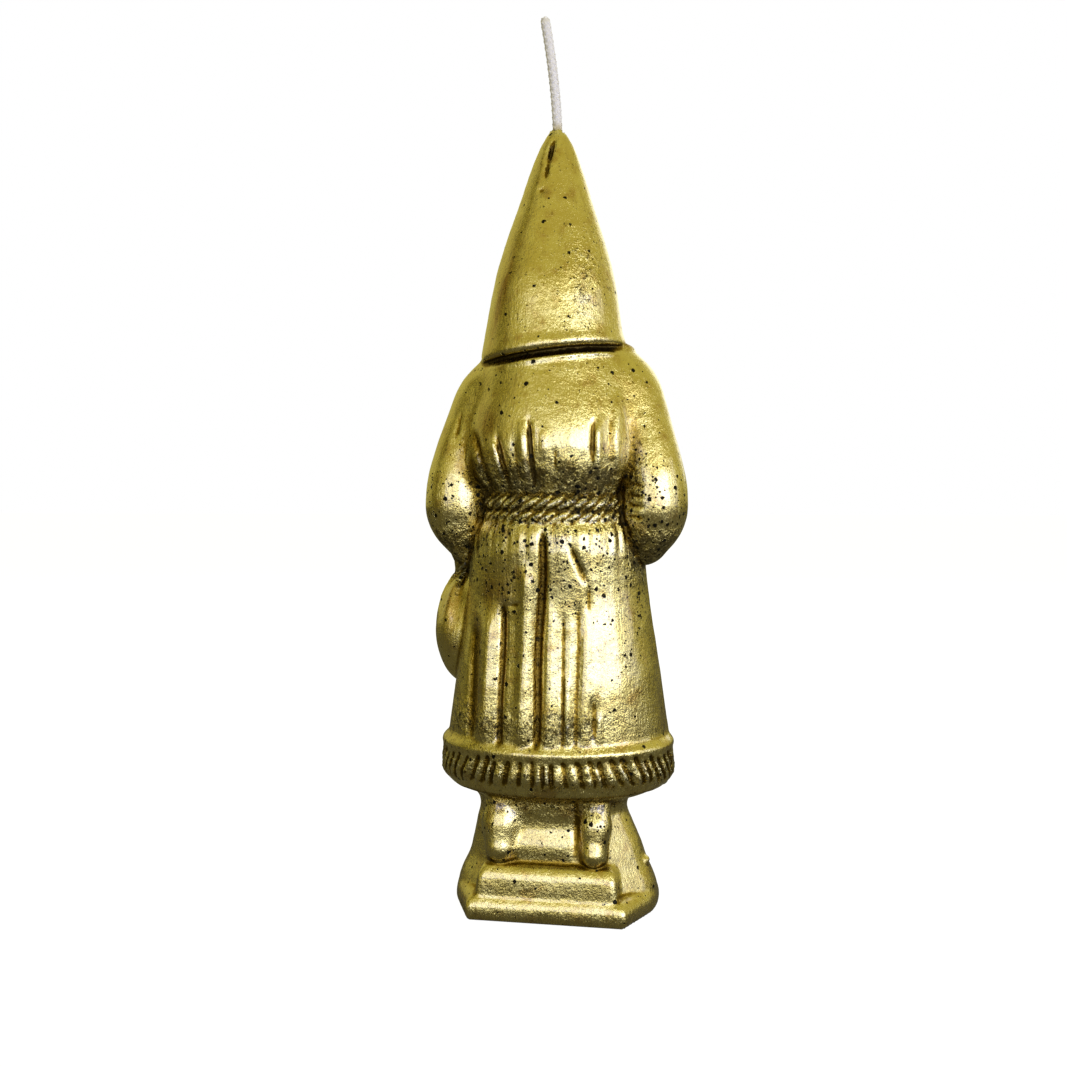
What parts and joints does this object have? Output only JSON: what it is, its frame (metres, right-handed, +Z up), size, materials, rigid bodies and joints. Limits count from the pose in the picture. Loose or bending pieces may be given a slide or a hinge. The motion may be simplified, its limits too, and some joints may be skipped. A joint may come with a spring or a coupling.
{
  "type": "figural candle",
  "caption": "Cast wax candle in the shape of a gnome in a pointed hood, belted coat and boots on a stepped plinth, with a wick from the hood's tip.",
  "frame": {"origin": "on the resting face, below the middle of the bounding box, on the wick's axis", "axes": "+Z up along the wick, the gnome faces -Y and its right hand is on the -X side"},
  "size_m": [0.0517, 0.036, 0.1766],
  "materials": {
    "gold_lacquer": "gold metallic lacquer, brushed and sponged over cast wax, semi-gloss, darker in the folds",
    "bare_wax": "bare poured wax, satin, with gold overspray at its rim",
    "cotton": "braided cotton, primed with clear wax"
  },
  "bodies": {
    "root": {"figure_casting": "gold_lacquer", "base_plug": "bare_wax", "wick": "cotton"}
  },
  "joints": []
}
